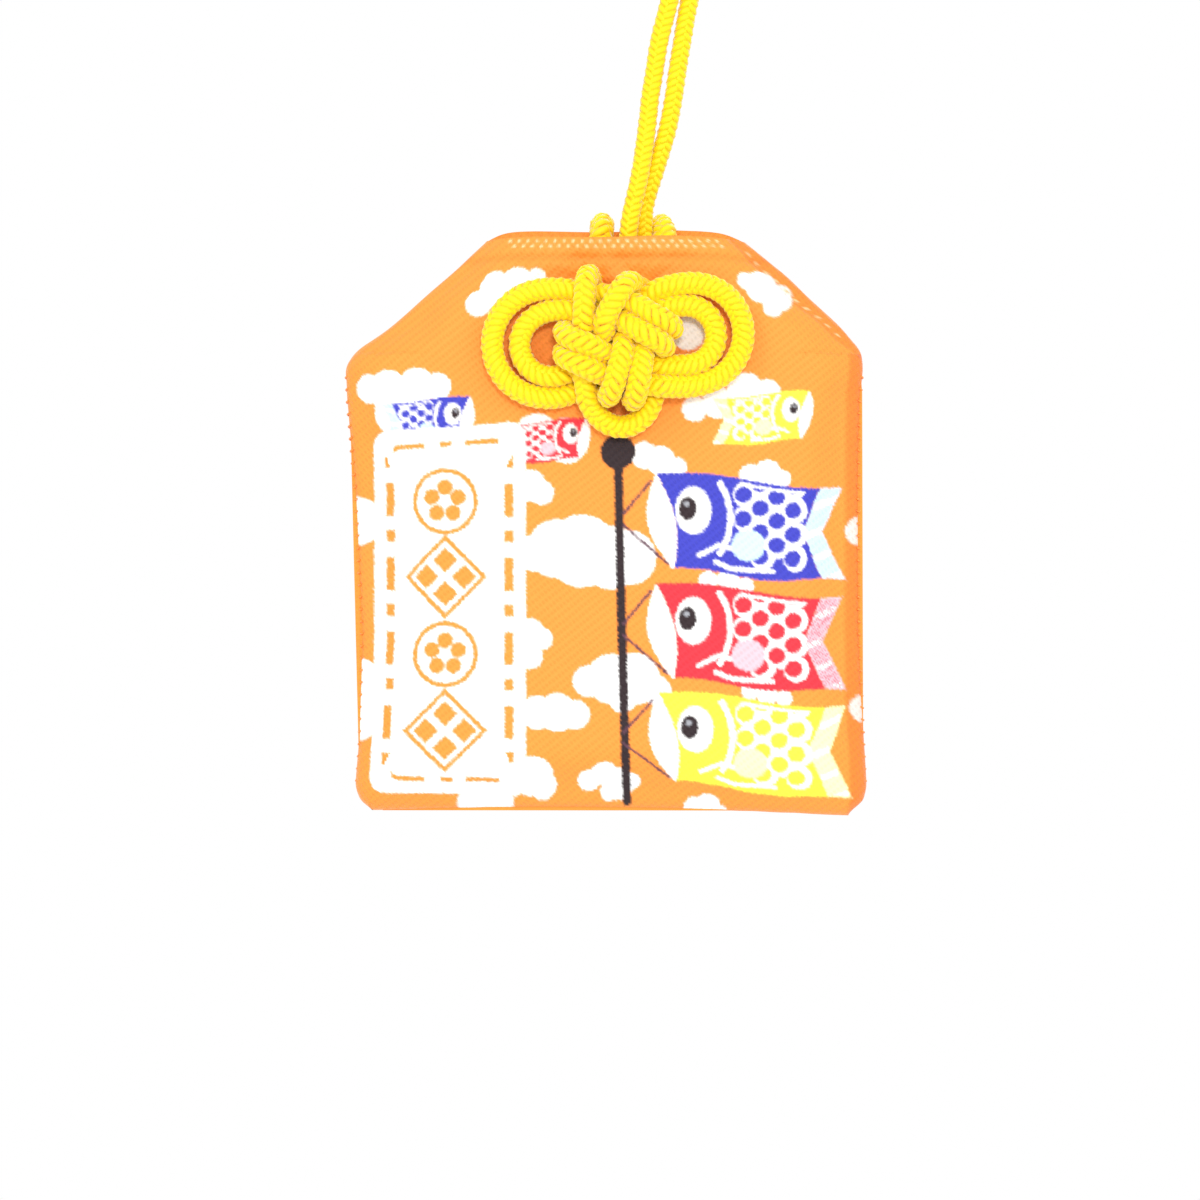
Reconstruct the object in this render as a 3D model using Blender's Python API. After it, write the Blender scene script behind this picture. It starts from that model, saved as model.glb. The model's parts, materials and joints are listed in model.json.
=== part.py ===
"""Flat charm pouch of patterned cloth that hangs from one braided cord.

The cord forms the hanging loop, gathers the pouch's mouth and ends in a double four-bar knot on
the front. Metres, +Z up, front towards -Y. The origin is the inner top of the hanging loop.

Sizes below are in millimetres. Pouch coordinates are X across from the pouch's middle, Y back
from its mid plane and Z up from the top of its cloth.
"""

import math

import bmesh
import bpy
import numpy as np
from mathutils import Matrix

MM = 0.001

# Where the pouch hangs under the loop.
HANG_HEIGHT = 60.0
POUCH_SHIFT = -12.0

# Outline of the cloth: (z, x) down each side, from the mouth's corner to the bottom corner.
LEFT_SIDE = (
    (-0.6, -10.0), (-3.0, -12.9), (-8.7, -19.4), (-12.0, -22.8), (-14.5, -23.2), (-50.4, -22.4),
    (-52.4, -21.0),
)
RIGHT_SIDE = (
    (-0.6, 12.0), (-3.7, 16.0), (-8.8, 21.4), (-12.0, 23.2), (-14.5, 23.4), (-50.4, 23.6),
    (-52.4, 22.2),
)
CLOTH_TOP = -0.6
CLOTH_BOTTOM = -52.4

# Half thickness of the pouch: at its seams, at its mouth and over its flat middle.
RIM_HALF = 1.1
MOUTH_HALF = 2.6
CROWN_HALF = 2.8
CROWN_TOP = -8.0
PUFF_REACH = 5.0

PANEL_THICKNESS = 0.5
LINING_THICKNESS = 0.25
LINING_INSET = 2.0
LINING_TOP = -8.4
GAP = 0.3
HEM_TOP = -0.9
HEM_BOTTOM = -2.1
HEM_THREAD_Z = -1.6
STRIP_HALF = 0.3
STRIP_WIDTH = 1.2

CORD_RADIUS = 0.85
KNOT_CORD_RADIUS = 0.8
KNOT_SPACING = 1.9
KNOT_STEP = 0.5
THREAD_RADIUS = 0.13
HOLE_RADIUS = 1.2
BEVEL_RESOLUTION = 2

# (x, z) of the holes that the cord passes through.
FRONT_HOLES = ((-1.1, -4.5), (3.1, -5.2))
BACK_HOLES = ((-0.3, -5.4), (5.0, -5.4))

# Charm and board inside: (x low, x high, y low, y high, z low, z high).
BOARD = (-16.0, 16.0, -1.4, -0.9, -47.0, -11.0)
WRAPPER = (-13.0, 13.0, -0.55, 1.45, -46.0, -13.0)
WRAPPER_WALL = 0.3
SLIP = (-12.3, 12.3, 0.15, 0.75, -45.2, -12.0)

# Hanging loop above the sideways flex point, from the left strand over the bight to the right.
HANGING_LOOP = (
    (4.4, 0.0, 13.9), (4.9, -0.2, 17.0), (5.8, -0.4, 20.6), (6.6, -0.3, 25.0), (7.1, -0.1, 30.0),
    (7.3, 0.0, 36.0), (7.0, 0.0, 42.0), (6.4, 0.0, 48.0), (6.0, 0.0, 53.0), (6.1, 0.0, 56.2),
    (7.2, 0.0, 58.9), (9.2, 0.0, 60.6), (12.0, 0.0, 61.1), (14.8, 0.0, 60.6), (16.8, 0.0, 58.9),
    (17.8, 0.0, 56.2), (17.7, 0.0, 53.0), (16.8, 0.0, 48.0), (15.0, 0.0, 42.0), (12.8, 0.0, 36.0),
    (10.6, 0.1, 30.0), (8.9, 0.3, 25.0), (7.6, 0.4, 20.6), (6.95, 0.2, 17.0), (6.45, 0.0, 13.9),
)
# Short pair of strands between the two flex points.
LEFT_NECK = ((4.1, 0.0, 12.1), (3.75, -0.25, 9.0), (3.25, -0.6, 5.5), (2.7, -0.75, 2.9))
RIGHT_NECK = ((6.2, 0.0, 12.1), (5.6, 0.25, 9.0), (4.55, 0.6, 5.5), (3.75, 0.75, 2.9))
# Each strand inside the mouth: down, out of a back hole, over the back edge and out of a front hole.
LEFT_GATHER = (
    (2.3, -0.75, 1.1), (2.0, -0.6, -1.5), (1.7, -0.1, -4.0), (0.6, 1.0, -5.3), (-0.2, 2.4, -5.6),
    (-0.3, 3.6, -4.9), (-0.3, 4.0, -3.4), (-0.3, 3.95, -1.4), (-0.3, 3.6, 0.0), (-0.25, 2.7, 0.65),
    (-0.25, 1.6, 0.5), (-0.3, 0.6, -0.3), (-0.6, 0.3, -1.7), (-0.9, -0.3, -3.4), (-1.1, -1.3, -4.4),
    (-1.1, -2.65, -4.6),
)
RIGHT_GATHER = (
    (3.5, 0.75, 1.1), (3.6, 0.6, -1.5), (3.7, 0.8, -3.8), (4.4, 1.6, -5.2), (4.9, 2.6, -5.5),
    (5.0, 3.6, -4.8), (5.0, 4.0, -3.4), (5.0, 3.95, -1.4), (5.0, 3.6, -0.1), (5.0, 2.7, 0.55),
    (5.2, 1.6, 0.4), (5.4, 0.5, -0.3), (5.4, -0.3, -1.7), (4.7, -0.8, -3.6), (3.7, -1.4, -4.9),
    (3.1, -2.65, -5.3),
)
# Distances in front of the cloth at which the knot's strand runs.
KNOT_FRONT = CROWN_HALF
BEHIND = 1.1
LAID = 2.1
UNDER = 3.3
OVER = 5.1

# Settling of the knot: how far along the strand points may touch, and how strongly a point is
# pushed off its neighbour, evened with the points beside it and drawn back to where it began.
TOUCH_REACH = 3.2
PUSH = 0.3
EVEN = 0.25
DRAW_BACK = 0.02

# Running stitches in the side seams and along the hems.
SEAM_STITCH = 0.6
SEAM_WEAVE = 0.35
HEM_STITCH = 1.0

ORANGE = (0.95, 0.36, 0.05)
DEEP_ORANGE = (0.86, 0.27, 0.03)
YELLOW = (1.0, 0.86, 0.03)
CREAM = (0.93, 0.9, 0.82)
CARD = (0.8, 0.74, 0.62)
PAPER = (0.95, 0.93, 0.88)
SPRUCE = (0.84, 0.68, 0.46)


def clear_scene():
    for thing in list(bpy.data.objects):
        bpy.data.objects.remove(thing)


def to_world(point):
    """Pouch coordinates in millimetres to world metres."""
    x, y, z = point
    return ((x + POUCH_SHIFT) * MM, y * MM, (z - HANG_HEIGHT) * MM)


def material(name, colour, roughness):
    made = bpy.data.materials.new(name)
    made.use_nodes = True
    shader = made.node_tree.nodes["Principled BSDF"]
    shader.inputs["Base Color"].default_value = (*colour, 1.0)
    shader.inputs["Roughness"].default_value = roughness
    shader.inputs["Metallic"].default_value = 0.0
    return made


def link(name, data, colour, roughness):
    obj = bpy.data.objects.new(name, data)
    obj.data.materials.append(material(name, colour, roughness))
    bpy.context.scene.collection.objects.link(obj)
    return obj


def mesh_object(name, bm, colour, roughness=0.8):
    """Closes off a bmesh as one object, its faces pointing out and its round parts smooth."""
    bmesh.ops.recalc_face_normals(bm, faces=bm.faces)
    mesh = bpy.data.meshes.new(name)
    bm.to_mesh(mesh)
    bm.free()
    mesh.shade_smooth()
    mesh.set_sharp_from_angle(angle=math.radians(35))
    return link(name, mesh, colour, roughness)


def smooth_route(points, step):
    """Even points along a Catmull-Rom curve through the given ones."""
    route = np.array(points)
    route = np.vstack([2 * route[0] - route[1], route, 2 * route[-1] - route[-2]])
    fine = []
    for before, start, end, after in zip(route, route[1:], route[2:], route[3:]):
        for t in np.arange(0.0, 1.0, 0.1):
            bend = 2 * before - 5 * start + 4 * end - after
            turn = 3 * start - before - 3 * end + after
            fine.append(start + 0.5 * ((end - before) * t + bend * t**2 + turn * t**3))
    fine.append(route[-2])
    fine = np.array(fine)
    along = np.concatenate([[0.0], np.cumsum(np.linalg.norm(np.diff(fine, axis=0), axis=1))])
    places = np.linspace(0.0, along[-1], max(2, round(along[-1] / step) + 1))
    return np.column_stack([np.interp(places, along, fine[:, k]) for k in range(3)])


def settle(route, spacing, step, floor, rounds=120):
    """Pushes crossing strands apart to the cord's thickness, as a pulled-tight knot sits."""
    start = route.copy()
    first, second = np.triu_indices(len(route), int(TOUCH_REACH / step))
    lowest = np.minimum(start[:, 1], floor)
    for _ in range(rounds):
        apart = route[first] - route[second]
        distance = np.linalg.norm(apart, axis=1)
        near = distance < spacing
        if not near.any():
            break
        push = PUSH * ((spacing / distance[near]) - 1.0)[:, None] * apart[near]
        moved = np.zeros_like(route)
        shared = np.ones(len(route))
        np.add.at(moved, first[near], push)
        np.add.at(moved, second[near], -push)
        np.add.at(shared, first[near], 1.0)
        np.add.at(shared, second[near], 1.0)
        evened = np.zeros_like(route)
        evened[1:-1] = 0.5 * (route[2:] + route[:-2]) - route[1:-1]
        route = route + moved / np.sqrt(shared)[:, None] + EVEN * evened + DRAW_BACK * (start - route)
        route[0], route[-1] = start[0], start[-1]
        route[:, 1] = np.maximum(route[:, 1], lowest)
    return route


def straight(start, end, *depths):
    """Points evenly along a straight stretch between two (x, z) places, one for each depth."""
    shares = np.linspace(0.0, 1.0, len(depths))
    return [
        (start[0] + (end[0] - start[0]) * share, depth, start[1] + (end[1] - start[1]) * share)
        for share, depth in zip(shares, depths)
    ]


def bow(centre, radii, first, last, *depths):
    """Points evenly round part of an ellipse, between two angles in degrees from +X towards +Z."""
    turns = np.radians(np.linspace(first, last, len(depths)))
    return [
        (centre[0] + radii[0] * math.cos(turn), depth, centre[1] + radii[1] * math.sin(turn))
        for turn, depth in zip(turns, depths)
    ]


def knot_route():
    """The knot's one strand, from the left front hole to the right one.

    Each bar passes over the next bar's tail and under the one before, and runs on into a loop.
    """
    return [
        # first bar down, over the top-left legs and under the left bars
        *straight((-1.2, -4.6), (-1.5, -5.0), 1.0, 2.8),
        *straight((-1.7, -5.6), (-1.8, -8.5), 4.6, OVER, OVER, 4.4),
        *straight((-1.8, -10.0), (-1.5, -14.0), UNDER, 3.1, 2.8),
        # bottom loop, and its hook behind the knot
        *bow((1.5, -14.5), (3.0, 3.5), 190, 350, 2.4, LAID, LAID, LAID, LAID, LAID),
        *bow((3.5, -13.5), (1.0, 1.2), 0, 180, LAID, 1.5, BEHIND, 1.3),
        *straight((2.6, -14.8), (2.8, -15.2), 2.2, 3.5),
        # right bottom bar up, over the right legs and under the top-right bars
        *straight((2.9, -14.5), (3.6, -10.2), 4.7, OVER, 4.7, 3.6),
        *straight((3.9, -9.0), (4.6, -7.5), UNDER, 3.0),
        # right inner loop
        *bow((7.2, -9.5), (3.1, 3.1), 115, -120, 2.7, 2.4, LAID, LAID, LAID, 2.3, 2.6, 2.9),
        # upper left bar, round the left edge and back behind the knot
        *straight((4.6, -12.1), (0.0, -10.4), 3.2, UNDER, UNDER, 3.8),
        *straight((-1.4, -9.8), (-2.6, -9.3), OVER, 4.7),
        *straight((-3.2, -8.9), (-2.9, -8.5), 3.4, 1.9),
        *straight((-1.9, -8.3), (4.6, -8.5), BEHIND, BEHIND, BEHIND, 1.3),
        # upper right bar
        *straight((5.4, -8.8), (5.6, -8.9), 2.4, 3.8),
        *straight((5.1, -8.5), (0.0, -5.9), 4.8, OVER, 4.6, 3.8, UNDER),
        # left outer loop, and its hook behind the bottom bars
        *bow((-5.3, -10.2), (4.9, 5.0), 50, 290, 3.1, 2.7, 2.4, 2.2, LAID, LAID, LAID, LAID, LAID, 1.8),
        *straight((-2.3, -14.3), (-0.1, -13.9), 1.4, BEHIND, 1.3),
        *straight((0.4, -14.5), (0.3, -15.0), 2.2, 3.6),
        # left bottom bar up
        *straight((0.3, -14.3), (1.4, -10.1), 4.8, OVER, 4.8, 3.8),
        *straight((2.1, -8.8), (4.1, -6.2), UNDER, UNDER, 3.0),
        # right outer loop
        *bow((8.0, -9.3), (4.6, 4.7), 120, -120, 2.7, 2.4, 2.2, LAID, LAID, LAID, LAID, LAID, 2.4, 2.8),
        # lower left bar, round the left edge and back behind the knot
        *straight((4.4, -13.8), (-0.2, -12.7), 3.1, UNDER, UNDER, 3.8),
        *straight((-1.5, -12.1), (-2.7, -11.3), OVER, 4.8),
        *straight((-3.3, -10.7), (-3.0, -10.4), 3.4, 1.9),
        *straight((-1.9, -10.3), (3.2, -10.4), BEHIND, BEHIND, BEHIND),
        # lower right bar
        *straight((4.6, -10.5), (5.4, -10.6), 1.6, 3.0),
        *straight((5.0, -10.4), (0.2, -8.0), 4.3, OVER, 4.8, 3.8, UNDER),
        # left inner loop
        *bow((-4.5, -10.3), (3.4, 3.3), 60, 280, 3.0, 2.7, 2.4, 2.2, 2.2, 2.1, 2.1, 2.2, 2.3),
        # second bar up, under the left bars and over the top-left legs
        *straight((-3.2, -12.9), (-1.0, -10.8), 2.4, 2.4, 2.5),
        *straight((-0.3, -9.7), (1.9, -5.9), 2.9, 3.9, 4.9, OVER, 4.6),
        *straight((2.5, -5.3), (3.0, -5.2), 3.2, 2.0, 1.0),
    ]


def cord(name, route, radius, colour=YELLOW):
    """A round cord along points in pouch coordinates, with closed ends."""
    curve = bpy.data.curves.new(name, "CURVE")
    curve.dimensions = "3D"
    curve.bevel_depth = radius * MM
    curve.bevel_resolution = BEVEL_RESOLUTION
    curve.use_fill_caps = True
    spline = curve.splines.new("POLY")
    spline.points.add(len(route) - 1)
    for point, place in zip(spline.points, route):
        point.co = (*to_world(place), 1.0)
    return link(name, curve, colour, 0.7)


def side_at(side, z):
    """X of a side of the cloth at height z."""
    heights = [row[0] for row in reversed(side)]
    places = [row[1] for row in reversed(side)]
    return float(np.interp(z, heights, places))


def half_thickness(x, z):
    """Half the pouch's thickness, from the seams' rim up to the flat middle."""
    edge = min(x - side_at(LEFT_SIDE, z), side_at(RIGHT_SIDE, z) - x, z - CLOTH_BOTTOM)
    rise = math.sin(min(max(edge / PUFF_REACH, 0.0), 1.0) * math.pi / 2)
    towards_mouth = min(max((z - CROWN_TOP) / (CLOTH_TOP - CROWN_TOP), 0.0), 1.0)
    crown = CROWN_HALF + (MOUTH_HALF - CROWN_HALF) * towards_mouth
    return RIM_HALF + (crown - RIM_HALF) * rise


def column_places(count, low, high):
    """Places from low to high, closer together towards both ends, where the cloth curves most."""
    steps = (i / (count - 1) for i in range(count))
    return [low + (high - low) * (0.5 - 0.5 * math.cos(math.pi * step)) for step in steps]


def row_heights(top, bottom):
    """Heights of a sheet's rows, close together where the outline turns."""
    turns = {z for side in (LEFT_SIDE, RIGHT_SIDE) for z, _ in side}
    turns |= {CROWN_TOP, -5.0, -18.0, -26.0, -34.0, -42.0, -47.4, -48.6, -49.6, -51.4}
    inside = {z for z in turns if bottom + 0.2 < z < top - 0.2}
    return sorted(inside | {top, bottom}, reverse=True)


def cloth_sheet(
    name, side, depth, thickness, colour,
    inset=0.0, top=CLOTH_TOP, bottom=CLOTH_BOTTOM, span=None, columns=15,
):
    """A sheet that follows the pouch's swelling, depth inside its outer face.

    side is -1 for the front and 1 for the back, and span limits it to a stretch in X.
    """
    bm = bmesh.new()
    layers = []
    rows = row_heights(top, bottom)
    for under in (depth, depth + thickness):
        grid = []
        for z in rows:
            low = side_at(LEFT_SIDE, z) + inset
            high = side_at(RIGHT_SIDE, z) - inset
            if span:
                low, high = span
            row = []
            for x in column_places(columns, low, high):
                y = side * (half_thickness(x, z) - under)
                row.append(bm.verts.new(to_world((x, y, z))))
            grid.append(row)
        layers.append(grid)
    outer, inner = layers
    for grid in layers:
        for upper, lower in zip(grid, grid[1:]):
            for i in range(columns - 1):
                bm.faces.new((upper[i], upper[i + 1], lower[i + 1], lower[i]))
    outer_rim = rim_of(outer)
    inner_rim = rim_of(inner)
    for i in range(len(outer_rim)):
        j = (i + 1) % len(outer_rim)
        bm.faces.new((outer_rim[i], outer_rim[j], inner_rim[j], inner_rim[i]))
    return mesh_object(name, bm, colour)


def rim_of(grid):
    """The vertices round a grid's border, in order."""
    top = grid[0]
    right = [row[-1] for row in grid[1:-1]]
    bottom = list(reversed(grid[-1]))
    left = [row[0] for row in reversed(grid[1:-1])]
    return top + right + bottom + left


def punch(obj, holes):
    """Cuts round holes through a sheet, along Y."""
    for number, (x, z) in enumerate(holes, 1):
        bm = bmesh.new()
        bmesh.ops.create_cone(
            bm,
            cap_ends=True,
            segments=16,
            radius1=HOLE_RADIUS * MM,
            radius2=HOLE_RADIUS * MM,
            depth=12 * MM,
            matrix=Matrix.Rotation(math.pi / 2, 4, "X"),
        )
        bmesh.ops.translate(bm, verts=bm.verts, vec=to_world((x, 0.0, z)))
        cutter = mesh_object(f"{obj.name}_hole_{number}", bm, CREAM)
        cutter.hide_render = True
        cutter.display_type = "WIRE"
        cut = obj.modifiers.new(f"hole_{number}", "BOOLEAN")
        cut.operation = "DIFFERENCE"
        cut.object = cutter


def strip(name, outline, colour):
    """A flat folded strip of cloth between the two panels, from its (x, z) outline."""
    bm = bmesh.new()
    verts = [bm.verts.new(to_world((x, -STRIP_HALF, z))) for x, z in outline]
    face = bm.faces.new(verts)
    pulled = bmesh.ops.extrude_face_region(bm, geom=[face])
    moved = [item for item in pulled["geom"] if isinstance(item, bmesh.types.BMVert)]
    bmesh.ops.translate(bm, verts=moved, vec=(0.0, 2 * STRIP_HALF * MM, 0.0))
    return mesh_object(name, bm, colour)


def side_strip(name, side, inward, top, bottom, colour, width=STRIP_WIDTH):
    """A strip just inside one side of the outline; inward is 1 on the left and -1 on the right."""
    heights = row_heights(top, bottom)
    near = [(side_at(side, z) + inward * GAP, z) for z in heights]
    far = [(side_at(side, z) + inward * (GAP + width), z) for z in reversed(heights)]
    return strip(name, near + far, colour)


def seam_thread(name, side, inward):
    """Running stitches beside a side seam, weaving to and fro across the mid plane."""
    inset = GAP + STRIP_WIDTH + GAP + 2 * THREAD_RADIUS
    heights = np.arange(-13.5, -49.0, -SEAM_STITCH)
    weave = SEAM_WEAVE * np.sin(np.arange(len(heights)) * math.pi / 2)
    route = [(side_at(side, z) + inward * inset, y, z) for y, z in zip(weave, heights)]
    return cord(name, route, THREAD_RADIUS, DEEP_ORANGE)


def hem_thread(name, side, low, high):
    """Hem stitches along a panel's outer face, just below its top edge."""
    route = []
    for x in np.arange(low, high, HEM_STITCH):
        y = side * (half_thickness(x, HEM_THREAD_Z) + GAP + THREAD_RADIUS)
        route.append((x, y, HEM_THREAD_Z))
    return cord(name, route, THREAD_RADIUS, DEEP_ORANGE)


def block(name, limits, colour):
    """A thin sheet of card or wood with slightly eased corners."""
    x_low, x_high, y_low, y_high, z_low, z_high = limits
    ease = 0.8
    outline = [
        (x_low + ease, z_low), (x_high - ease, z_low), (x_high, z_low + ease), (x_high, z_high - ease),
        (x_high - ease, z_high), (x_low + ease, z_high), (x_low, z_high - ease), (x_low, z_low + ease),
    ]
    bm = bmesh.new()
    face = bm.faces.new([bm.verts.new(to_world((x, y_low, z))) for x, z in outline])
    pulled = bmesh.ops.extrude_face_region(bm, geom=[face])
    moved = [item for item in pulled["geom"] if isinstance(item, bmesh.types.BMVert)]
    bmesh.ops.translate(bm, verts=moved, vec=(0.0, (y_high - y_low) * MM, 0.0))
    return mesh_object(name, bm, colour)


def charm_wrapper():
    """A paper sleeve, closed at the bottom and open at the top, that holds the slip."""
    x_low, x_high, y_low, y_high, z_low, z_high = WRAPPER
    wall = WRAPPER_WALL
    bm = bmesh.new()
    corners = [(x_low, y_low), (x_high, y_low), (x_high, y_high), (x_low, y_high)]
    inner = [
        (x_low + wall, y_low + wall), (x_high - wall, y_low + wall),
        (x_high - wall, y_high - wall), (x_low + wall, y_high - wall),
    ]
    rings = [
        [bm.verts.new(to_world((x, y, z))) for x, y in ring]
        for ring, z in ((corners, z_low), (corners, z_high), (inner, z_high), (inner, z_low + wall))
    ]
    bm.faces.new(rings[0])
    bm.faces.new(rings[-1])
    for lower, upper in zip(rings, rings[1:]):
        for i in range(4):
            j = (i + 1) % 4
            bm.faces.new((lower[i], lower[j], upper[j], upper[i]))
    return mesh_object("charm_wrapper", bm, PAPER)


def make_panels():
    front = cloth_sheet("front_panel", -1, 0.0, PANEL_THICKNESS, ORANGE)
    back = cloth_sheet("back_panel", 1, 0.0, PANEL_THICKNESS, ORANGE)
    punch(front, FRONT_HOLES)
    punch(back, BACK_HOLES)
    lining_depth = PANEL_THICKNESS + GAP
    for name, side in (("front_lining", -1), ("back_lining", 1)):
        cloth_sheet(
            name, side, lining_depth, LINING_THICKNESS, CREAM,
            inset=LINING_INSET, top=LINING_TOP, bottom=CLOTH_BOTTOM + LINING_INSET, columns=11,
        )
    for name, side in (("front_hem", -1), ("back_hem", 1)):
        cloth_sheet(
            name, side, lining_depth, LINING_THICKNESS, DEEP_ORANGE,
            top=HEM_TOP, bottom=HEM_BOTTOM, span=(-8.4, 10.4), columns=9,
        )


def make_seams():
    side_strip("left_shoulder_tuck", LEFT_SIDE, 1, -3.2, -11.6, DEEP_ORANGE)
    side_strip("right_shoulder_tuck", RIGHT_SIDE, -1, -3.2, -11.6, DEEP_ORANGE)
    side_strip("left_side_seam", LEFT_SIDE, 1, -12.2, -49.4, DEEP_ORANGE)
    side_strip("right_side_seam", RIGHT_SIDE, -1, -12.2, -49.4, DEEP_ORANGE)
    low = CLOTH_BOTTOM + GAP
    high = low + STRIP_WIDTH
    strip("bottom_fold", ((-20.0, low), (21.0, low), (21.0, high), (-20.0, high)), DEEP_ORANGE)
    seam_thread("left_seam_thread", LEFT_SIDE, 1)
    seam_thread("right_seam_thread", RIGHT_SIDE, -1)
    hem_thread("front_hem_thread", -1, -8.0, 10.5)
    hem_thread("back_hem_thread", 1, 7.0, 10.5)


def make_contents():
    block("stiffener_board", BOARD, CARD)
    charm_wrapper()
    block("charm_slip", SLIP, SPRUCE)


def make_cord():
    cord("hanging_loop", smooth_route(HANGING_LOOP, 2.0), CORD_RADIUS)
    cord("left_neck_strand", smooth_route(LEFT_NECK, 1.5), CORD_RADIUS)
    cord("right_neck_strand", smooth_route(RIGHT_NECK, 1.5), CORD_RADIUS)
    cord("left_gather_cord", smooth_route(LEFT_GATHER, 0.8), CORD_RADIUS)
    cord("right_gather_cord", smooth_route(RIGHT_GATHER, 0.8), CORD_RADIUS)
    knot = settle(smooth_route(knot_route(), KNOT_STEP), KNOT_SPACING, KNOT_STEP, floor=1.05)
    thinned = np.vstack([knot[:-1:2], knot[-1:]])
    thinned[:, 1] = -(KNOT_FRONT + thinned[:, 1])
    cord("knot_cord", thinned, KNOT_CORD_RADIUS)


def main():
    clear_scene()
    make_panels()
    make_seams()
    make_contents()
    make_cord()


main()
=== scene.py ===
import json
import math

import bpy
import numpy as np
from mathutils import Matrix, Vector

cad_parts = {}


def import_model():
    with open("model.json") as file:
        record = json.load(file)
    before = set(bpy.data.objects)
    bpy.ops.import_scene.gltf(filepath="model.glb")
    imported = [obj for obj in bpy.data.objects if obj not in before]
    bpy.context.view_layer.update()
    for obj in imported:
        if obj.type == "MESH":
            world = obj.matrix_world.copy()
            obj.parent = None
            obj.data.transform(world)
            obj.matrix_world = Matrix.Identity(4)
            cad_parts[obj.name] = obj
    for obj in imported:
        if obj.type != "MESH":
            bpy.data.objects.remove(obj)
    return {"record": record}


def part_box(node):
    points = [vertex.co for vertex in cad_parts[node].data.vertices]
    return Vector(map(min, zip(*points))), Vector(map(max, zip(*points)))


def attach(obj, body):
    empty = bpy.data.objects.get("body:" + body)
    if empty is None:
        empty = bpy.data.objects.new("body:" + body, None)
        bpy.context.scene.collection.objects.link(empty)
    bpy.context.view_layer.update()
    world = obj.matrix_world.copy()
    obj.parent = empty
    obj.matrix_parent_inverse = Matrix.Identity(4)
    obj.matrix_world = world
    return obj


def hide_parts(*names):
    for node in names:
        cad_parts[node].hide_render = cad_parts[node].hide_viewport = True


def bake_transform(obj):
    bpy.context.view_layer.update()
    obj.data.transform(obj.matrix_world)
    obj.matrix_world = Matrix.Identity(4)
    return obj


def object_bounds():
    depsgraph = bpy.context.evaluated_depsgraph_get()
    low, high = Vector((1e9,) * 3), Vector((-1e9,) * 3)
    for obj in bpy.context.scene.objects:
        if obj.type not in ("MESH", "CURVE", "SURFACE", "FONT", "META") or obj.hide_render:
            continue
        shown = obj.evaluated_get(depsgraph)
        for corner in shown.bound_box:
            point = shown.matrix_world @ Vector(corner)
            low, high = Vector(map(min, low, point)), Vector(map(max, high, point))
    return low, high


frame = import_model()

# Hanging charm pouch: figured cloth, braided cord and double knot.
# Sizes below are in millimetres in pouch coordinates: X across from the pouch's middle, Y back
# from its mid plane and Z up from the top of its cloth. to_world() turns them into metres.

CAD_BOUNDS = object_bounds()
MM = 0.001
HANG_HEIGHT = 60.0
POUCH_SHIFT = -12.0
SEED = 7

# Camera: a long lens, square to the pouch and a little above it. The floor's drop and radius are
# in metres.
LENS = 120.0
SENSOR = 36.0
VIEW_WIDTH = 107.2
VIEW_AZIMUTH = 0.5
VIEW_ELEVATION = 2.5
AIM_SHIFT = (-0.6, -6.5)
FLOOR_DROP = 0.13
FLOOR_RADIUS = 0.3

# Studio lights: name, place and size in metres, and power in watts.
LIGHTS = (
    ("key_light", (-0.30, -0.45, 0.28), 0.20, 0.6),
    ("fill_light", (0.45, -0.40, 0.05), 0.40, 0.2),
    ("front_light", (0.03, -0.62, 0.06), 0.10, 1.5),
    ("back_light", (0.15, 0.50, 0.25), 0.40, 0.8),
)

# Outline of the cloth: (z, x) down each side.
LEFT_SIDE = (
    (-0.6, -10.2), (-3.0, -12.9), (-8.7, -19.4), (-10.7, -22.3), (-12.2, -23.3), (-15.0, -23.2),
    (-24.0, -22.5), (-36.0, -22.0), (-46.0, -22.2), (-50.0, -22.5), (-51.5, -21.9), (-52.2, -20.6),
)
RIGHT_SIDE = (
    (-0.6, 12.0), (-3.7, 16.0), (-8.8, 21.4), (-10.7, 23.0), (-12.2, 23.2), (-15.0, 23.0),
    (-24.0, 22.9), (-36.0, 23.0), (-46.0, 23.4), (-50.0, 23.6), (-51.5, 23.2), (-52.2, 21.9),
)
CLOTH_BOTTOM = -52.1
FRONT_TOP = -0.75
BACK_TOP = -0.1
FRONT_CORNER_DROP = 0.1
BACK_CORNER_DROP = 0.85
RIM_HALF = 0.03
MOUTH_HALF = 2.45
CROWN_HALF = 2.8
PUFF_REACH = 6.5
COLUMNS = 292
ROWS = 322
COARSE_COLUMNS = 45
COARSE_ROWS = 49
HEM_FOLD = 0.5
HEM_TUCK = 1.6
# Width of the turned edge along the right shoulder.
SHOULDER_FOLD = 1.4
WEAVE_PITCH = 0.36
WEAVE_TURN = 38.0
# Seam stitches reach over the edge to both sides of it; hem stitches run along the hem.
SEAM_SPAN = (-13.0, -50.0)
SEAM_PITCH = 1.1
SEAM_REACH = 0.7
HEM_PITCH = 1.5
HEM_STITCH = 0.9
HEM_LINE = -2.0
FRONT_HOLES = ((-1.1, -4.5), (3.1, -5.2))
BACK_HOLES = ((-0.3, -5.4), (5.0, -5.4))

# The braided cord: eight flat strands, half of them winding each way.
KNOT_GIRTH = 1.12
STRAND_GIRTH = 0.95
GATHER_GIRTH = 1.2
STRANDS_EACH_WAY = 4
BRAID_RADIUS = 0.68
BRAID_WAVE = 0.1
BRAID_PITCH = 2.6
STRAND_THICK = 0.17
STRAND_WIDE = 0.36
STRAND_SIDES = 6
BRAID_STEP = 0.24

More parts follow.
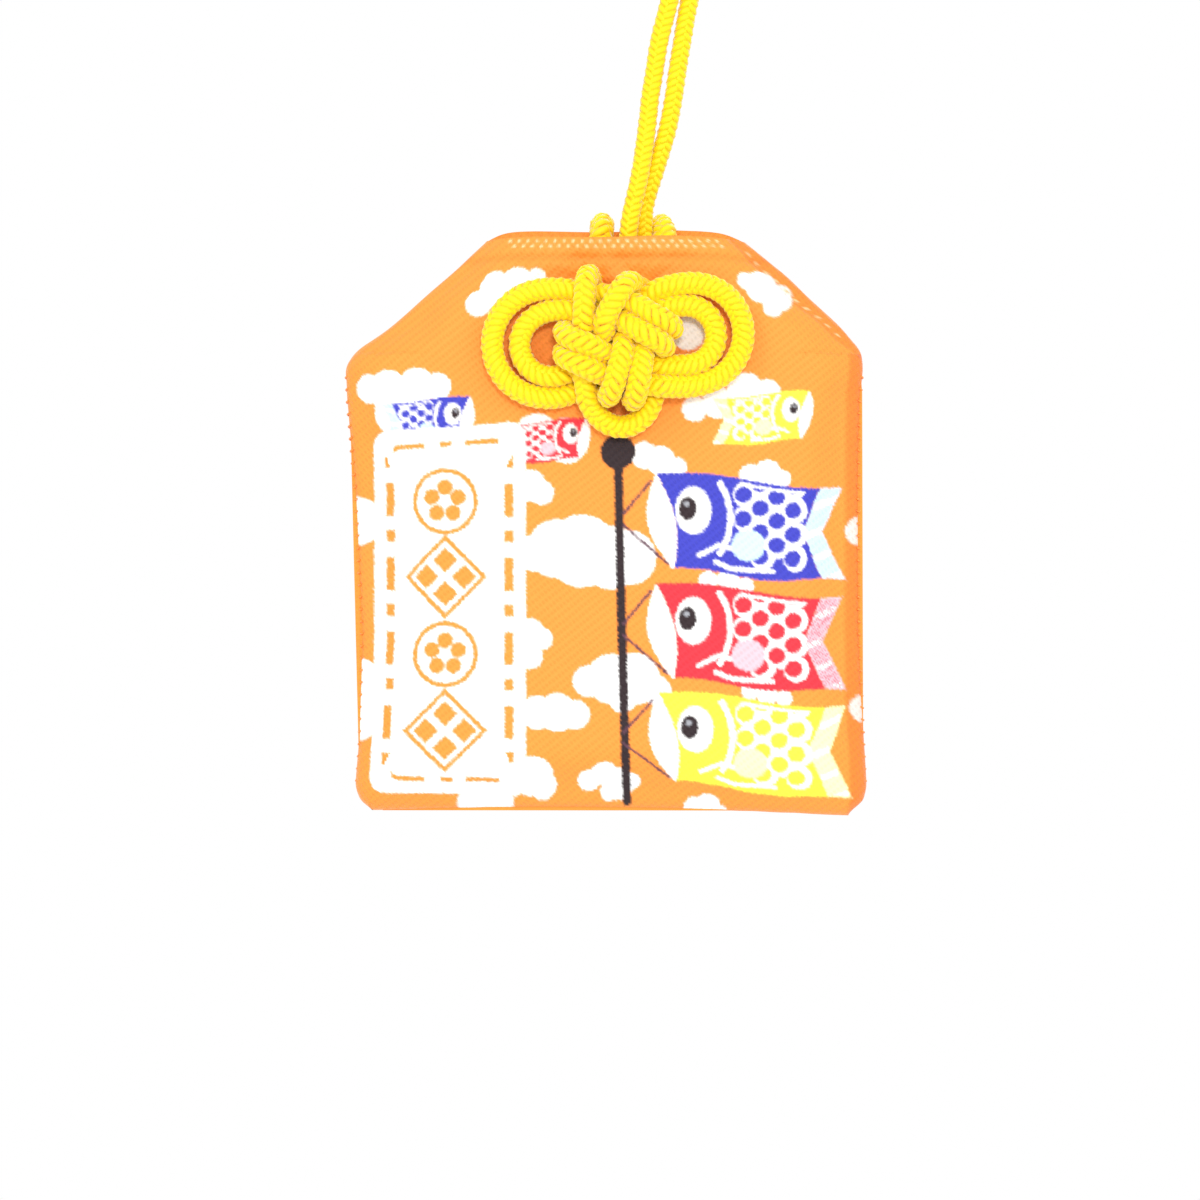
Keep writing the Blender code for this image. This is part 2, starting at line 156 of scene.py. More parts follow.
HANGING_LOOP = (
    (4.4, 0.0, 13.9), (4.9, -0.2, 17.0), (5.8, -0.4, 20.6), (6.6, -0.3, 25.0), (7.1, -0.1, 30.0),
    (7.3, 0.0, 36.0), (7.0, 0.0, 42.0), (6.4, 0.0, 48.0), (6.0, 0.0, 53.0), (6.1, 0.0, 56.2),
    (7.2, 0.0, 58.9), (9.2, 0.0, 60.6), (12.0, 0.0, 61.1), (14.8, 0.0, 60.6), (16.8, 0.0, 58.9),
    (17.8, 0.0, 56.2), (17.7, 0.0, 53.0), (16.8, 0.0, 48.0), (15.0, 0.0, 42.0), (12.8, 0.0, 36.0),
    (10.6, 0.1, 30.0), (8.9, 0.3, 25.0), (7.6, 0.4, 20.6), (6.95, 0.2, 17.0), (6.45, 0.0, 13.9),
)
LEFT_NECK = ((4.1, 0.0, 12.1), (3.75, -0.25, 9.0), (3.25, -0.6, 5.5), (2.7, -0.75, 2.9))
RIGHT_NECK = ((6.2, 0.0, 12.1), (5.6, 0.25, 9.0), (4.55, 0.6, 5.5), (3.75, 0.75, 2.9))
# Each strand inside the mouth: down, out of a back hole, over the back edge and out of a front hole.
LEFT_GATHER = (
    (2.3, -0.75, 1.1), (2.0, -0.6, -1.5), (1.7, -0.1, -4.0), (0.6, 1.0, -5.3), (-0.2, 2.4, -5.6),
    (-0.3, 3.6, -4.9), (-0.3, 4.0, -3.4), (-0.3, 3.95, -1.4), (-0.3, 3.6, 0.0), (-0.25, 2.7, 0.65),
    (-0.25, 1.6, 0.5), (-0.3, 0.6, -0.3), (-0.6, 0.3, -1.7), (-0.9, -0.3, -3.4), (-1.1, -1.3, -4.4),
    (-1.1, -2.65, -4.6),
)
RIGHT_GATHER = (
    (3.5, 0.75, 1.1), (3.6, 0.6, -1.5), (3.7, 0.8, -3.8), (4.4, 1.6, -5.2), (4.9, 2.6, -5.5),
    (5.0, 3.6, -4.8), (5.0, 4.0, -3.4), (5.0, 3.95, -1.4), (5.0, 3.6, -0.1), (5.0, 2.7, 0.55),
    (5.2, 1.6, 0.4), (5.4, 0.5, -0.3), (5.4, -0.3, -1.7), (4.7, -0.8, -3.6), (3.7, -1.4, -4.9),
    (3.1, -2.65, -5.3),
)

# Each throat runs from the neck down to this height, within this length of strand.
THROAT_END = -1.5
THROAT_REACH = 5.0

KNOT_SPACING = 1.9
KNOT_STEP = 0.5
KNOT_FLOOR = 1.05
# Along Y, the leads start inside the cloth and end where the knot begins.
LEAD_INSIDE = -1.6
LEAD_END = -5.2
# Distances in front of the cloth at which the knot's strand runs.
BEHIND = 1.1
LAID = 2.1
UNDER = 3.3
OVER = 5.1

# Settling of the knot: how far along the strand points may touch, and how strongly a point is
# pushed off its neighbour, evened with the points beside it and drawn back to where it began.
TOUCH_REACH = 3.2
PUSH = 0.3
EVEN = 0.25
DRAW_BACK = 0.02

STITCH_RADIUS = 0.09
THREAD_PITCH = 0.16
# The cloth bag is simulated with this many units to a millimetre, at this pressure.
BAG_SCALE = 0.02
BAG_FRAMES = 20
BAG_PRESSURE = 4.0
# Most of the simulated moves reach this limit, in millimetres.
BAG_CAP = 0.55


def srgb(*values):
    """Screen colour of 0 to 255 to linear light."""
    shares = (value / 255 for value in values)
    return tuple(s / 12.92 if s <= 0.04045 else ((s + 0.055) / 1.055) ** 2.4 for s in shares)


# The picture woven into the front.
WHITE = (1.0, 1.0, 1.0)
GREY = (0.35, 0.36, 0.4)
ORANGE = srgb(252, 152, 61)
PALE_ORANGE = srgb(255, 214, 160)
DEEP_ORANGE = srgb(250, 150, 60)
YELLOW = srgb(255, 229, 14)
# Painted shade for the braid: the amber that the strands' sides and the grooves between them are coloured.
GROOVE_SHADE = srgb(240, 146, 0)
BLACK = srgb(46, 32, 36)
BLUE = srgb(62, 66, 190)
LIGHT_BLUE = srgb(205, 232, 250)
RED = srgb(236, 52, 66)
PINK = srgb(250, 196, 208)
ROSE = srgb(214, 90, 110)
STRING = srgb(96, 60, 76)
LEMON = srgb(255, 240, 70)
PALE_LEMON = srgb(255, 250, 190)
CREAM = srgb(246, 242, 230)

# Clouds, each a cluster of round lobes (x, z, radius).
CLOUDS = (
    # round the knot and over the shoulders
    ((-11.2, -6.6, 1.2), (-9.6, -5.4, 1.6), (-7.6, -5.0, 1.5), (-6.0, -4.5, 0.9)),
    ((12.6, -4.6, 0.8), (14.0, -5.1, 1.5), (15.8, -5.9, 1.2), (15.0, -6.9, 0.9)),
    ((7.4, -9.3, 1.5), (8.8, -9.0, 0.7)),
    ((-21.0, -14.2, 1.3), (-19.2, -14.4, 1.8), (-16.6, -14.0, 1.6), (-14.8, -14.0, 1.2),
     (-18.6, -16.4, 2.0), (-13.2, -17.0, 1.5)),
    ((8.0, -16.0, 1.1), (10.0, -15.4, 1.4), (12.5, -14.5, 1.7), (14.4, -14.6, 1.2)),
    ((-8.4, -18.4, 1.2), (-6.0, -18.4, 2.0), (-3.4, -18.8, 2.0)),
    # between the label and the pole
    ((-6.6, -22.8, 1.4), (-5.6, -23.4, 1.1)),
    ((-6.2, -28.8, 1.6), (-4.2, -28.4, 2.6), (-2.0, -28.6, 3.2), (0.6, -29.2, 2.8), (2.2, -29.2, 2.4)),
    ((-6.6, -35.8, 1.2), (-5.6, -36.4, 1.0), (-6.6, -38.0, 1.1)),
    ((-1.4, -40.2, 1.4), (0.6, -40.0, 2.2), (2.6, -40.0, 2.3), (4.6, -41.0, 1.3), (1.6, -41.8, 1.2)),
    ((-6.0, -43.0, 1.5), (-4.2, -43.0, 1.7), (-2.6, -43.2, 1.3)),
    ((-6.6, -49.0, 2.0), (-5.6, -50.0, 1.3), (-12.0, -51.4, 1.2), (-9.6, -51.4, 1.4)),
    ((-1.4, -49.6, 1.0), (0.0, -48.9, 1.2), (1.2, -49.8, 1.5), (2.4, -49.7, 0.8), (0.4, -50.6, 0.8)),
    # round the carps
    ((3.5, -20.1, 1.2), (5.0, -20.6, 1.3), (6.4, -21.2, 0.9)),
    ((13.0, -21.9, 1.0), (14.5, -21.7, 1.2), (15.8, -22.2, 0.8)),
    ((9.2, -31.2, 0.8), (11.0, -31.2, 1.0), (12.5, -31.8, 0.8)),
    ((13.0, -41.0, 0.8), (14.5, -41.4, 0.9), (16.0, -41.7, 0.7)),
    ((8.0, -52.0, 0.9), (9.2, -52.0, 1.2), (10.3, -52.5, 0.8)),
    # at the side seams
    ((23.3, -26.9, 1.4),),
    ((23.5, -42.8, 1.3),),
    ((-22.6, -26.0, 2.2),),
    ((-22.4, -40.5, 2.2), (-22.6, -43.6, 2.2)),
)

# Each carp: place of its mouth's upper corner, scale, facing, body colour and the pale colour of
# its tail and belly patch. The big ones face right and the small ones left.
BIG_CARPS = (
    ((4.6, -21.7), 1.0, 1, BLUE, LIGHT_BLUE),
    ((4.6, -31.5), 1.0, 1, RED, PINK),
    ((4.8, -41.2), 1.0, 1, LEMON, PALE_LEMON),
)
SMALL_CARPS = (
    ((-11.9, -14.9), 0.47, -1, BLUE, LIGHT_BLUE),
    ((-1.6, -16.8), 0.42, -1, RED, PINK),
    ((18.2, -14.4), 0.50, -1, LEMON, PALE_LEMON),
)
# Strings from the pole to a carp's mouth: height on the pole and end, from the mouth's corner.
STRINGS = ((-3.6, (-0.5, -0.7)), (-4.6, (1.0, -8.0)))
POLE_X = 1.5
POLE_STROKES = (((1.2, -20.0), (1.5, -34.0), 0.8), ((1.5, -34.0), (2.0, -51.4), 0.8))
ORNAMENT_HEIGHTS = (-24.2, -30.9, -37.8, -44.6)


def to_world(points):
    """Pouch coordinates in millimetres to world metres."""
    return (np.asarray(points, float) + (POUCH_SHIFT, 0.0, -HANG_HEIGHT)) * MM


def world(x, y, z):
    return tuple(float(value) for value in to_world((x, y, z)))


# ---- studio and camera


def aim(obj, target):
    direction = np.array(target) - np.array(obj.location)
    obj.rotation_mode = "QUATERNION"
    obj.rotation_quaternion = Vector(direction).to_track_quat("-Z", "Y")


def make_camera():
    low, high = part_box("front_panel")
    target = (Vector(low) + Vector(high)) / 2 + Vector((AIM_SHIFT[0], 0.0, AIM_SHIFT[1])) * MM
    target.y = low[1]
    distance = VIEW_WIDTH * MM * LENS / SENSOR
    azimuth, elevation = math.radians(VIEW_AZIMUTH), math.radians(VIEW_ELEVATION)
    back = Vector((
        math.sin(azimuth) * math.cos(elevation),
        -math.cos(azimuth) * math.cos(elevation),
        math.sin(elevation),
    ))
    data = bpy.data.cameras.new("camera")
    data.lens = LENS
    data.sensor_width = SENSOR
    data.clip_start = 0.01
    camera = bpy.data.objects.new("camera", data)
    camera.location = target + back * distance
    aim(camera, target)
    bpy.context.scene.collection.objects.link(camera)
    bpy.context.scene.camera = camera


def area_light(name, place, size, power, target):
    data = bpy.data.lights.new(name, "AREA")
    data.shape = "DISK"
    data.size = size
    data.energy = power
    light = bpy.data.objects.new(name, data)
    light.location = place
    aim(light, target)
    bpy.context.scene.collection.objects.link(light)


def make_studio():
    scene = bpy.context.scene
    scene.view_settings.view_transform = "Standard"
    sky = bpy.data.worlds.new("studio")
    sky.use_nodes = True
    sky.node_tree.nodes["Background"].inputs["Color"].default_value = (1.0, 1.0, 1.0, 1.0)
    sky.node_tree.nodes["Background"].inputs["Strength"].default_value = 1.0
    scene.world = sky
    middle = world(0.0, 0.0, -26.0)
    for name, place, size, power in LIGHTS:
        area_light(name, place, size, power, middle)
    drop = CAD_BOUNDS[0].z - FLOOR_DROP
    bpy.ops.mesh.primitive_circle_add(
        vertices=96, radius=FLOOR_RADIUS, fill_type="NGON", location=(middle[0], 0.0, drop)
    )
    floor = bpy.context.object
    floor.name = "floor"
    paint = new_material("floor_paint", (0.86, 0.86, 0.85), 0.9)
    grain(paint, 60.0, 0.02, 0.02)
    floor.data.materials.append(paint)


# ---- materials


def new_material(name, colour, roughness, sheen=0.0):
    made = bpy.data.materials.new(name)
    made.use_nodes = True
    shader = made.node_tree.nodes["Principled BSDF"]
    shader.inputs["Base Color"].default_value = (*colour, 1.0)
    shader.inputs["Roughness"].default_value = roughness
    shader.inputs["Sheen Weight"].default_value = sheen
    shader.inputs["Sheen Roughness"].default_value = 0.4
    shader.inputs["Specular IOR Level"].default_value = 0.25
    return made


def add_node(made, kind, **settings):
    node = made.node_tree.nodes.new(kind)
    for key, value in settings.items():
        if key in node.inputs:
            node.inputs[key].default_value = value
        else:
            setattr(node, key, value)
    return node


def place_of(made):
    return add_node(made, "ShaderNodeTexCoord").outputs["Object"]


def tinted(made, colour, factor, amount, dark=0.78):
    """The colour, darkened to a share of itself where factor is high."""
    links = made.node_tree.links
    scaled = add_node(made, "ShaderNodeMath", operation="MULTIPLY")
    scaled.inputs[1].default_value = amount
    links.new(factor, scaled.inputs[0])
    mix = add_node(made, "ShaderNodeMix", data_type="RGBA", blend_type="MULTIPLY")
    mix.inputs[7].default_value = (dark, dark * 0.93, dark * 0.86, 1.0)
    links.new(scaled.outputs[0], mix.inputs[0])
    if isinstance(colour, tuple):
        mix.inputs[6].default_value = (*colour, 1.0)
    else:
        links.new(colour, mix.inputs[6])
    return mix.outputs[2]


def finish_surface(made, colour, height, strength, distance):
    links = made.node_tree.links
    shader = made.node_tree.nodes["Principled BSDF"]
    bump = add_node(made, "ShaderNodeBump", Strength=strength, Distance=distance)
    links.new(height, bump.inputs["Height"])
    links.new(bump.outputs[0], shader.inputs["Normal"])
    links.new(colour, shader.inputs["Base Color"])


def grain(made, scale, strength, tint, stretch=(1.0, 1.0, 1.0)):
    """A fibrous grain: noise in the object's own space, stretched along its fibres."""
    links = made.node_tree.links
    colour = tuple(made.node_tree.nodes["Principled BSDF"].inputs["Base Color"].default_value)[:3]
    mapping = add_node(made, "ShaderNodeMapping")
    mapping.inputs["Scale"].default_value = stretch
    links.new(place_of(made), mapping.inputs["Vector"])
    noise = add_node(made, "ShaderNodeTexNoise", Scale=scale, Detail=4.0)
    links.new(mapping.outputs[0], noise.inputs["Vector"])
    finish_surface(made, tinted(made, colour, noise.outputs[0], tint), noise.outputs[0], strength, 0.0001)
    return made


def woven(made, colour, pitch, turn, strength, tint):
    """A twill: diagonal ribs crossed by weft threads, with slow unevenness over the cloth."""
    links = made.node_tree.links
    mapping = add_node(made, "ShaderNodeMapping")
    mapping.inputs["Rotation"].default_value = (0.0, math.radians(turn), 0.0)
    links.new(place_of(made), mapping.inputs["Vector"])
    waves = []
    for axis, share in (("X", 1.0), ("Z", 0.6)):
        wave = add_node(made, "ShaderNodeTexWave", wave_type="BANDS", bands_direction=axis)
        wave.inputs["Scale"].default_value = share / (pitch * MM) * math.pi / 10
        wave.inputs["Distortion"].default_value = 0.6
        wave.inputs["Detail"].default_value = 1.0
        links.new(mapping.outputs[0], wave.inputs["Vector"])
        waves.append(wave.outputs["Fac"])
    both = add_node(made, "ShaderNodeMath", operation="MULTIPLY")
    links.new(waves[0], both.inputs[0])
    links.new(waves[1], both.inputs[1])
    patchy = add_node(made, "ShaderNodeTexNoise", Scale=260.0, Detail=3.0)
    links.new(place_of(made), patchy.inputs["Vector"])
    ribs = tinted(made, colour, both.outputs[0], tint)
    uneven = tinted(made, ribs, patchy.outputs[0], tint * 0.5)
    finish_surface(made, uneven, both.outputs[0], strength, 0.00008)
    return made


# ---- braided cord


def smooth_route(points, step):
    """Even points along a Catmull-Rom curve through the given ones."""
    route = np.array(points)
    route = np.vstack([2 * route[0] - route[1], route, 2 * route[-1] - route[-2]])
    fine = []
    for before, start, end, after in zip(route, route[1:], route[2:], route[3:]):
        for t in np.arange(0.0, 1.0, 0.1):
            bend = 2 * before - 5 * start + 4 * end - after
            turn = 3 * start - before - 3 * end + after
            fine.append(start + 0.5 * ((end - before) * t + bend * t**2 + turn * t**3))
    fine.append(route[-2])
    fine = np.array(fine)
    along = np.concatenate([[0.0], np.cumsum(np.linalg.norm(np.diff(fine, axis=0), axis=1))])
    places = np.linspace(0.0, along[-1], max(2, round(along[-1] / step) + 1))
    return np.column_stack([np.interp(places, along, fine[:, k]) for k in range(3)])


def settle(route, spacing, step, floor, rounds=120):
    """Pushes crossing strands apart to the cord's thickness, as a pulled-tight knot sits."""
    start = route.copy()
    first, second = np.triu_indices(len(route), int(TOUCH_REACH / step))
    lowest = np.minimum(start[:, 1], floor)
    for _ in range(rounds):
        apart = route[first] - route[second]
        distance = np.linalg.norm(apart, axis=1)
        near = distance < spacing
        if not near.any():
            break
        push = PUSH * ((spacing / distance[near]) - 1.0)[:, None] * apart[near]
        moved = np.zeros_like(route)
        shared = np.ones(len(route))
        np.add.at(moved, first[near], push)
        np.add.at(moved, second[near], -push)
        np.add.at(shared, first[near], 1.0)
        np.add.at(shared, second[near], 1.0)
        evened = np.zeros_like(route)
        evened[1:-1] = 0.5 * (route[2:] + route[:-2]) - route[1:-1]
        route = route + moved / np.sqrt(shared)[:, None] + EVEN * evened + DRAW_BACK * (start - route)
        route[0], route[-1] = start[0], start[-1]
        route[:, 1] = np.maximum(route[:, 1], lowest)
    return route


def straight(start, end, *depths):
    """Points evenly along a straight stretch between two (x, z) places, one for each depth."""
    shares = np.linspace(0.0, 1.0, len(depths))
    return [
        (start[0] + (end[0] - start[0]) * share, depth, start[1] + (end[1] - start[1]) * share)
        for share, depth in zip(shares, depths)
    ]


def bow(centre, radii, first, last, *depths):
    """Points evenly round part of an ellipse, between two angles in degrees from +X towards +Z."""
    turns = np.radians(np.linspace(first, last, len(depths)))
    return [
        (centre[0] + radii[0] * math.cos(turn), depth, centre[1] + radii[1] * math.sin(turn))
        for turn, depth in zip(turns, depths)
    ]


def knot_route():
    """The knot's one strand, from the left front hole to the right one.

    Each bar passes over the next bar's tail and under the one before, and runs on into a loop.
    """
    return [
        # first bar down, over the top-left legs and under the left bars
        *straight((-1.2, -4.6), (-1.5, -5.0), 1.0, 2.8),
        *straight((-1.7, -5.6), (-1.8, -8.5), 4.6, OVER, OVER, 4.4),
        *straight((-1.8, -10.0), (-1.5, -14.0), UNDER, 3.1, 2.8),
        # bottom loop, and its hook behind the knot
        *bow((1.5, -14.5), (3.0, 3.5), 190, 350, 2.4, LAID, LAID, LAID, LAID, LAID),
        *bow((3.5, -13.5), (1.0, 1.2), 0, 180, LAID, 1.5, BEHIND, 1.3),
        *straight((2.6, -14.8), (2.8, -15.2), 2.2, 3.5),
        # right bottom bar up, over the right legs and under the top-right bars
        *straight((2.9, -14.5), (3.6, -10.2), 4.7, OVER, 4.7, 3.6),
        *straight((3.9, -9.0), (4.6, -7.5), UNDER, 3.0),
        # right inner loop
        *bow((7.2, -9.5), (3.1, 3.1), 115, -120, 2.7, 2.4, LAID, LAID, LAID, 2.3, 2.6, 2.9),
        # upper left bar, round the left edge and back behind the knot
        *straight((4.6, -12.1), (0.0, -10.4), 3.2, UNDER, UNDER, 3.8),
        *straight((-1.4, -9.8), (-2.6, -9.3), OVER, 4.7),
        *straight((-3.2, -8.9), (-2.9, -8.5), 3.4, 1.9),
        *straight((-1.9, -8.3), (4.6, -8.5), BEHIND, BEHIND, BEHIND, 1.3),
        # upper right bar
        *straight((5.4, -8.8), (5.6, -8.9), 2.4, 3.8),
        *straight((5.1, -8.5), (0.0, -5.9), 4.8, OVER, 4.6, 3.8, UNDER),
        # left outer loop, and its hook behind the bottom bars
        *bow((-5.3, -10.2), (4.9, 5.0), 50, 290, 3.1, 2.7, 2.4, 2.2, LAID, LAID, LAID, LAID, LAID, 1.8),
        *straight((-2.3, -14.3), (-0.1, -13.9), 1.4, BEHIND, 1.3),
        *straight((0.4, -14.5), (0.3, -15.0), 2.2, 3.6),
        # left bottom bar up
        *straight((0.3, -14.3), (1.4, -10.1), 4.8, OVER, 4.8, 3.8),
        *straight((2.1, -8.8), (4.1, -6.2), UNDER, UNDER, 3.0),
        # right outer loop
        *bow((8.0, -9.3), (4.6, 4.7), 120, -120, 2.7, 2.4, 2.2, LAID, LAID, LAID, LAID, LAID, 2.4, 2.8),
        # lower left bar, round the left edge and back behind the knot
        *straight((4.4, -13.8), (-0.2, -12.7), 3.1, UNDER, UNDER, 3.8),
        *straight((-1.5, -12.1), (-2.7, -11.3), OVER, 4.8),
        *straight((-3.3, -10.7), (-3.0, -10.4), 3.4, 1.9),
        *straight((-1.9, -10.3), (3.2, -10.4), BEHIND, BEHIND, BEHIND),
        # lower right bar
        *straight((4.6, -10.5), (5.4, -10.6), 1.6, 3.0),
        *straight((5.0, -10.4), (0.2, -8.0), 4.3, OVER, 4.8, 3.8, UNDER),
        # left inner loop
        *bow((-4.5, -10.3), (3.4, 3.3), 60, 280, 3.0, 2.7, 2.4, 2.2, 2.2, 2.1, 2.1, 2.2, 2.3),
        # second bar up, under the left bars and over the top-left legs
        *straight((-3.2, -12.9), (-1.0, -10.8), 2.4, 2.4, 2.5),
        *straight((-0.3, -9.7), (1.9, -5.9), 2.9, 3.9, 4.9, OVER, 4.6),
        *straight((2.5, -5.3), (3.0, -5.2), 3.2, 2.0, 1.0),
    ]


def unit(vectors):
    return vectors / np.linalg.norm(vectors, axis=-1, keepdims=True)


def carried_frames(route):
    """Along, side and up directions at each point, carried along the route without twist."""
    along = unit(np.gradient(route, axis=0))
    side = np.zeros_like(route)
    start = np.cross(along[0], (0.3, 1.0, 0.2))
    side[0] = start / np.linalg.norm(start)
    for i in range(1, len(route)):
        moved = side[i - 1] - along[i] * np.dot(side[i - 1], along[i])
        side[i] = moved / np.linalg.norm(moved)
    return along, side, np.cross(along, side)


def braid_rings(route, girth):
    """Rings of every strand of the braid: points x strands x corners x 3, in pouch millimetres."""
    _, side, up = carried_frames(route)
    steps = np.linalg.norm(np.diff(route, axis=0), axis=1)
    travel = np.concatenate([[0.0], np.cumsum(steps)])
    corners = np.linspace(0.0, 2 * math.pi, STRAND_SIDES, endpoint=False)
    strands = []
    for way in (1, -1):
        for k in range(STRANDS_EACH_WAY):
            if way == 1:
                swing = 4 * math.pi * travel / BRAID_PITCH + math.pi * k - math.pi / 4
            else:
                swing = math.pi * k - 4 * math.pi * travel / BRAID_PITCH - math.pi / 4
            angle = way * 2 * math.pi * travel / BRAID_PITCH + math.pi * k / 2
            radius = girth * (BRAID_RADIUS + way * BRAID_WAVE * np.tanh(2.0 * np.cos(swing)))
            outward = np.cos(angle)[:, None] * side + np.sin(angle)[:, None] * up
            middle = route + radius[:, None] * outward
            across = unit(np.cross(outward, np.gradient(middle, axis=0)))
            thick = girth * STRAND_THICK * np.cos(corners)[None, :, None]
            wide = girth * STRAND_WIDE * np.sin(corners)[None, :, None]
            ring = middle[:, None] + thick * outward[:, None] + wide * across[:, None]
            strands.append(ring)
    return np.stack(strands, axis=1)


def mesh_piece(name, points, faces, paint):
    mesh = bpy.data.meshes.new(name)
    mesh.from_pydata(to_world(points).tolist(), [], faces)
    mesh.validate()
    mesh.shade_smooth()
    mesh.materials.append(paint)
    piece = bpy.data.objects.new(name, mesh)
    bpy.context.scene.collection.objects.link(piece)
    return piece


def tube_faces(rings, sides, first=0):
    """Sides and end caps of one closed tube whose vertices run ring by ring."""
    faces = []
    for i in range(rings - 1):
        low, high = first + i * sides, first + (i + 1) * sides
        for k in range(sides):
            j = (k + 1) % sides
            faces.append((low + k, low + j, high + j, high + k))
    last = first + (rings - 1) * sides
    faces.append(tuple(first + k for k in reversed(range(sides))))
    faces.append(tuple(last + k for k in range(sides)))
    return faces


def braid_piece(name, rings, paint):
    """One stretch of the braid as a mesh of closed strands."""
    count, strands, sides = rings.shape[:3]
    points = rings.transpose(1, 0, 2, 3).reshape(-1, 3)
    faces = []
    for k in range(strands):
        faces += tube_faces(count, sides, k * count * sides)
    piece = mesh_piece(name, points, faces, paint)
    # Painted shade: each strand keeps the yellow on its outward crest and turns amber down its sides and
    # inner faces, where the grooves between strands lie.
    crest = np.clip(np.cos(np.linspace(0.0, 2 * math.pi, sides, endpoint=False)), 0.0, 1.0) ** 0.6
    colours = crest[:, None] * np.array(YELLOW) + (1.0 - crest[:, None]) * np.array(GROOVE_SHADE)
    layer = piece.data.color_attributes.new("strand", "FLOAT_COLOR", "POINT")
    colours = np.column_stack([colours, np.ones(sides)])
    layer.data.foreach_set("color", np.tile(colours, (count * strands, 1)).ravel())
    return piece


def cord_paint():
    made = new_material("cord_braid", YELLOW, 0.5, sheen=0.35)
    links = made.node_tree.links
    fibre = add_node(made, "ShaderNodeTexNoise", Scale=9000.0, Detail=2.0)
    links.new(place_of(made), fibre.inputs["Vector"])
    patch = add_node(made, "ShaderNodeTexNoise", Scale=900.0, Detail=3.0)
    links.new(place_of(made), patch.inputs["Vector"])
    # The strand colours carry the painted groove shade of the braid.
    strand = add_node(made, "ShaderNodeVertexColor", layer_name="strand")
    shade = tinted(made, strand.outputs["Color"], patch.outputs[0], 0.25)
    finish_surface(made, shade, fibre.outputs[0], 0.35, 0.00004)
    return made


def nearest_height(route, start, stop, height):
    """Index between start and stop at which the route comes closest to a height."""
    return start + int(np.argmin(np.abs(route[start:stop, 2] - height)))


def make_hanging_cord(paint):
    """Loop, neck and gathers from one continuous braid, divided where the bodies meet."""
    points = LEFT_GATHER[::-1] + LEFT_NECK[::-1] + HANGING_LOOP + RIGHT_NECK + RIGHT_GATHER
    route = smooth_route(points, BRAID_STEP)
    rings = braid_rings(route, STRAND_GIRTH)
    wide_rings = braid_rings(route, GATHER_GIRTH)
    top = int(np.argmax(route[:, 2]))
    left_low = int(np.argmin(np.linalg.norm(route[:top] - LEFT_NECK[-1], axis=1)))
    right_low = top + int(np.argmin(np.linalg.norm(route[top:] - RIGHT_NECK[-1], axis=1)))
    reach = int(THROAT_REACH / BRAID_STEP)
    left_inside = nearest_height(route, left_low - reach, left_low, THROAT_END)
    right_inside = nearest_height(route, right_low, right_low + reach, THROAT_END)
    loop = braid_piece("hanging_cord", rings[left_low:right_low + 1], paint)
    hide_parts("hanging_loop", "left_neck_strand", "right_neck_strand")
    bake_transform(loop)
    for name, near, far, outer in (
        ("left", left_inside, left_low, (0, left_inside)),
        ("right", right_low, right_inside, (right_inside, len(route) - 1)),
    ):
        throat = braid_piece(f"{name}_throat_cord", rings[near:far + 1], paint)
        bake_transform(throat)
        gather = braid_piece(f"{name}_gather_braid", wide_rings[outer[0]:outer[1] + 1], paint)
        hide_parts(f"{name}_gather_cord")
        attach(gather, "pouch")


def make_knot(paint):
    """The tied knot, and the two short leads from the cloth into it."""
    route = settle(smooth_route(knot_route(), KNOT_STEP), KNOT_SPACING, KNOT_STEP, KNOT_FLOOR)
    route[:, 1] = -(CROWN_HALF + route[:, 1])
    lead_in, lead_out = ([(x, LEAD_INSIDE, z)] for x, z in FRONT_HOLES)
    route = smooth_route(np.vstack([lead_in, route[::2], lead_out]), BRAID_STEP)
    rings = braid_rings(route, KNOT_GIRTH)
    lifted = np.flatnonzero(route[:, 1] < LEAD_END)
    first, last = int(lifted[0]), int(lifted[-1])
    knot = braid_piece("knot_braid", rings[first:last + 1], paint)
    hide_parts("knot_cord")
    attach(knot, "knot")
    for name, stretch in (("left", rings[:first + 1]), ("right", rings[last:])):
        lead = braid_piece(f"{name}_knot_lead", stretch, paint)
        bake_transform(lead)


# ---- the woven picture, drawn with distances: a shape is where its distance is below zero


def disc(x, z, middle, radius):
    return np.hypot(x - middle[0], z - middle[1]) - radius


def oval(x, z, middle, radii):
    return (np.hypot((x - middle[0]) / radii[0], (z - middle[1]) / radii[1]) - 1.0) * min(radii)


def stroke(x, z, start, end, width):
    """Distance to a straight line of some width with round ends."""
    run = np.subtract(end, start)
    share = ((x - start[0]) * run[0] + (z - start[1]) * run[1]) / np.dot(run, run)
    share = np.clip(share, 0.0, 1.0)
    return np.hypot(x - start[0] - share * run[0], z - start[1] - share * run[1]) - width / 2


def arc_line(x, z, middle, radius, width, facing, spread):
    """Distance to an arc line that faces a direction in degrees, spread degrees to each side."""
    turned = np.degrees(np.arctan2(z - middle[1], x - middle[0]))
    off = np.abs((turned - facing + 180.0) % 360.0 - 180.0)
    ring = np.abs(np.hypot(x - middle[0], z - middle[1]) - radius) - width / 2
    return np.where(off < spread, ring, 1.0)


def lay(canvas, distance, colour):
    """Weaves a colour in where distance is below zero, with an edge as soft as one thread."""
    share = np.clip(0.5 - distance / THREAD_PITCH, 0.0, 1.0)[:, None]
    canvas[:] = canvas * (1.0 - share) + np.array(colour) * share


def cloud_distance(x, z, lobes):
    return np.minimum.reduce([disc(x, z, lobe[:2], lobe[2]) for lobe in lobes])


